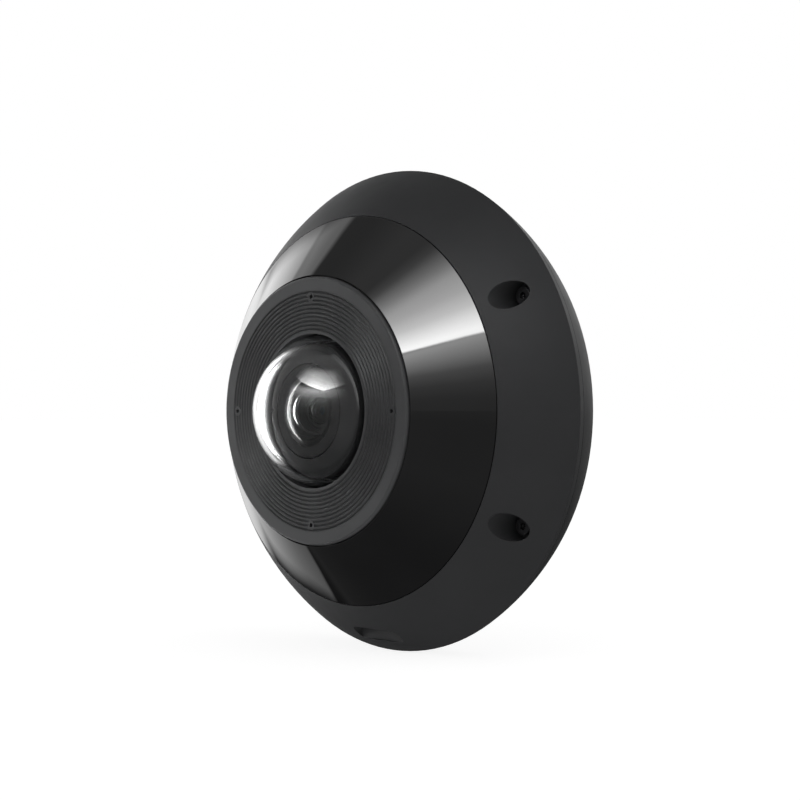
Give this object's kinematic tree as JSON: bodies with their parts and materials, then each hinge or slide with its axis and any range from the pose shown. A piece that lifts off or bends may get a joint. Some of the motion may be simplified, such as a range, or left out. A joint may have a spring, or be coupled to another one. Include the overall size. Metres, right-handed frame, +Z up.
{
  "type": "360 degree camera",
  "caption": "Round wall or ceiling camera: clear dome over a fisheye lens, grooved ring, glossy infrared window and wide matte skirt on a wall base.",
  "frame": {"origin": "centre of the wall base's four-screw pattern on the wall face", "axes": "+Y into the wall along the lens axis, -Y the way the lens looks, +Z up, +X to the right as seen from the front"},
  "size_m": [0.1614, 0.0709, 0.1614],
  "materials": {
    "base_paint": "dark matte paint on cast aluminium",
    "skirt_paint": "dark matte",
    "window_gloss": "polished near-black, lets infrared through",
    "ring_satin": "satin, grooved",
    "dome_clear": "polished clear",
    "shroud_black": "matte black",
    "lens_black": "black anodised",
    "lens_glass": "polished, coated",
    "cut_glass": "coated blue-green",
    "sensor_glass": "polished",
    "foam_rubber": "closed-cell foam",
    "seal_rubber": "soft matte",
    "bare_aluminium": "machined",
    "housing_cast": "cast and painted",
    "screw_steel": "bright zinc",
    "screw_dark": "blackened",
    "post_brass": "machined",
    "contact_gold": "gold plated",
    "coil_copper": "enamelled wire",
    "magnet_brown": "moulded magnet",
    "holder_plastic": "moulded, matte",
    "board_green": "solder mask",
    "chip_black": "moulded package",
    "pad_grey": "soft heat pad",
    "flex_amber": "film",
    "socket_plastic": "moulded",
    "plunger_pale": "moulded",
    "button_red": "moulded",
    "vent_white": "moulded with membrane",
    "lamp_white": "white solder mask",
    "lamp_lens": "clear cast resin"
  },
  "bodies": {
    "mount": {"mount_base": "base_paint", "wall_gasket": "foam_rubber"},
    "camera_head": {"skirt_shell": "skirt_paint", "infrared_window": "window_gloss", "window_seal": "seal_rubber", "ring_seal": "seal_rubber", "front_ring": "ring_satin", "dome_cover": "dome_clear", "dome_seal": "seal_rubber", "front_bracket": "bare_aluminium", "ring_screws": "screw_steel", "mic_board": "board_green", "microphones": "contact_gold", "lens_shroud": "shroud_black", "lens_bezel": "lens_black", "front_glass": "lens_glass", "second_glass": "lens_glass", "rear_glasses": "lens_glass", "lens_spacers": "lens_black", "aperture_stop": "lens_black", "lens_barrel": "lens_black", "lens_lock_ring": "post_brass", "lens_holder": "holder_plastic", "filter_coil": "coil_copper", "image_sensor": "sensor_glass", "sensor_board": "board_green", "sensor_pad": "pad_grey", "sensor_screws": "screw_steel", "sensor_flex": "flex_amber", "mic_flex": "flex_amber", "lamp_flex": "flex_amber", "chassis_plate": "bare_aluminium", "chassis_posts": "post_brass", "chassis_screws": "screw_steel", "heat_spreader": "bare_aluminium", "main_chip": "chip_black", "main_board": "board_green", "board_posts": "post_brass", "network_socket": "socket_plastic", "socket_contacts": "contact_gold", "socket_gasket": "seal_rubber", "reset_switch": "socket_plastic", "pressure_vent": "vent_white", "inner_housing": "housing_cast", "housing_seal": "seal_rubber", "housing_screws": "screw_steel", "lamp_board": "lamp_white", "infrared_lamps": "lamp_lens", "lamp_posts": "post_brass", "screw_seals": "seal_rubber"},
    "screw_1": {"security_screw_1": "screw_dark"},
    "screw_2": {"security_screw_2": "screw_dark"},
    "screw_3": {"security_screw_3": "screw_dark"},
    "screw_4": {"security_screw_4": "screw_dark"},
    "reset": {"reset_button": "button_red", "reset_plunger": "plunger_pale"},
    "filter": {"filter_frame": "holder_plastic", "infrared_cut_glass": "cut_glass", "clear_glass": "lens_glass"},
    "lever": {"filter_lever": "magnet_brown"}
  },
  "joints": [
    {"name": "head_lift", "type": "slide", "parent": "mount", "child": "camera_head", "axis": [0, -1, 0], "range_m": [0, 0.03]},
    {"name": "screw_1", "type": "slide", "parent": "camera_head", "child": "screw_1", "axis": [0, -1, 0], "range_m": [0, 0.006]},
    {"name": "screw_2", "type": "slide", "parent": "camera_head", "child": "screw_2", "axis": [0, -1, 0], "range_m": [0, 0.006]},
    {"name": "screw_3", "type": "slide", "parent": "camera_head", "child": "screw_3", "axis": [0, -1, 0], "range_m": [0, 0.006]},
    {"name": "screw_4", "type": "slide", "parent": "camera_head", "child": "screw_4", "axis": [0, -1, 0], "range_m": [0, 0.006]},
    {"name": "reset_press", "type": "slide", "parent": "camera_head", "child": "reset", "axis": [0, -1, 0], "range_m": [0, 0.0006], "stiffness_N_per_m": 2500, "springref_m": -0.0003},
    {"name": "lever_turn", "type": "hinge", "parent": "camera_head", "child": "lever", "pos_m": [0, -0.033, -0.0194], "axis": [0, -1, 0], "range_deg": [0, 60]},
    {"name": "filter_slide", "type": "slide", "parent": "camera_head", "child": "filter", "axis": [-1, 0, 0], "range_m": [0, 0.009]}
  ],
  "couplings": [
    {"joint": "lever_turn", "follows": "filter_slide", "rad_per_m": 116.36}
  ]
}
